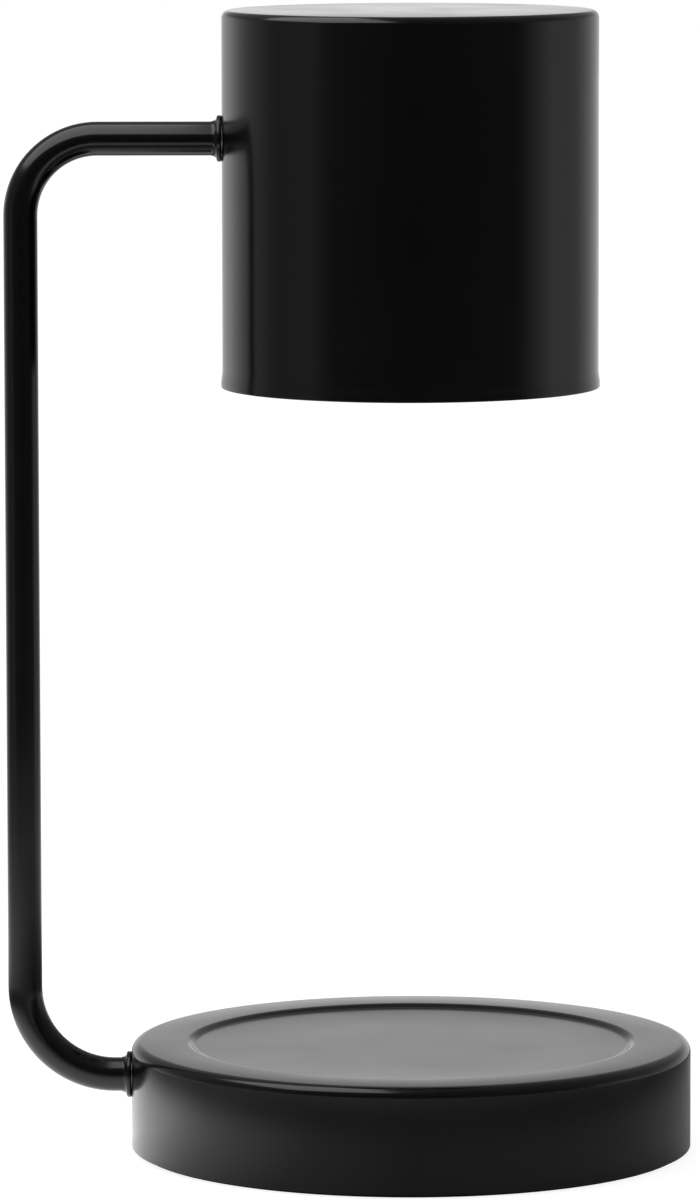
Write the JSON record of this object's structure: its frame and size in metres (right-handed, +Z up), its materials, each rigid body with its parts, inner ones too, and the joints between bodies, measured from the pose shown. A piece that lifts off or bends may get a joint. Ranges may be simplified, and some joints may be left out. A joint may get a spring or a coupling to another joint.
{
  "type": "candle warmer lamp",
  "caption": "Table lamp that warms a jar candle: weighted round base with a shallow recess, C-shaped tube arm, tilting cylindrical shade, twist-lock reflector bulb.",
  "frame": {"origin": "on the table, under the middle of the base", "axes": "+Z up; the arm stands at -X, the cord's hole is at +Y, the front is -Y"},
  "size_m": [0.1831, 0.1516, 0.305],
  "materials": {
    "black_paint": "smooth semi-gloss black enamel",
    "cast_iron": "rough casting",
    "foam": "fine closed-cell foam",
    "black_rubber": "matt moulded rubber",
    "block_nylon": "natural nylon",
    "brass": "turned",
    "lead_jacket": "smooth silicone jacket",
    "core_insulation": "silicone core insulation",
    "holder_ceramic": "unglazed steatite",
    "bulb_ceramic": "fine pressed ceramic",
    "nickel": "nickel plate",
    "reflector_glass": "aluminised pressed glass",
    "lens_glass": "clear pressed glass",
    "quartz": "clear quartz",
    "filament": "drawn tungsten",
    "zinc_steel": "bright zinc plate",
    "spring_steel": "oiled spring steel"
  },
  "bodies": {
    "stand": {"base_cover": "black_paint", "cover_posts": "zinc_steel", "ballast_disc": "cast_iron", "bottom_plate": "zinc_steel", "foam_pad": "foam", "base_screws": "zinc_steel", "ballast_bolt": "zinc_steel", "cord_grommet": "black_rubber", "terminal_block": "block_nylon", "terminal_sleeves": "brass", "terminal_screws": "zinc_steel", "block_screw": "zinc_steel", "arm_tube": "black_paint", "base_collar": "black_paint", "shade_collar": "black_paint", "base_nipple": "zinc_steel", "base_saddle_washer": "zinc_steel", "base_nut": "zinc_steel", "shade_nipple": "zinc_steel", "stop_washer": "zinc_steel", "bow_washer": "spring_steel", "shade_nut": "zinc_steel", "arm_lead": "lead_jacket"},
    "shade": {"shade_shell": "black_paint", "shade_bush": "brass", "lamp_bracket": "zinc_steel", "holder_body": "holder_ceramic", "holder_cap": "holder_ceramic", "holder_contacts": "nickel", "holder_screws": "zinc_steel", "holder_nuts": "zinc_steel", "holder_lead": "core_insulation"},
    "bulb": {"bulb_reflector": "reflector_glass", "bulb_lens": "lens_glass", "bulb_base": "bulb_ceramic", "bulb_pins": "nickel", "bulb_capsule": "quartz", "bulb_filament": "filament"}
  },
  "joints": [
    {"name": "shade_tilt", "type": "hinge", "parent": "stand", "child": "shade", "pos_m": [-0.05, 0, 0.271], "axis": [1, 0, 0], "range_deg": [-30, 30]},
    {"name": "bulb_twist", "type": "hinge", "parent": "shade", "child": "bulb", "pos_m": [0, 0, 0.26], "axis": [0, 0, 1], "range_deg": [-40, 0]}
  ]
}
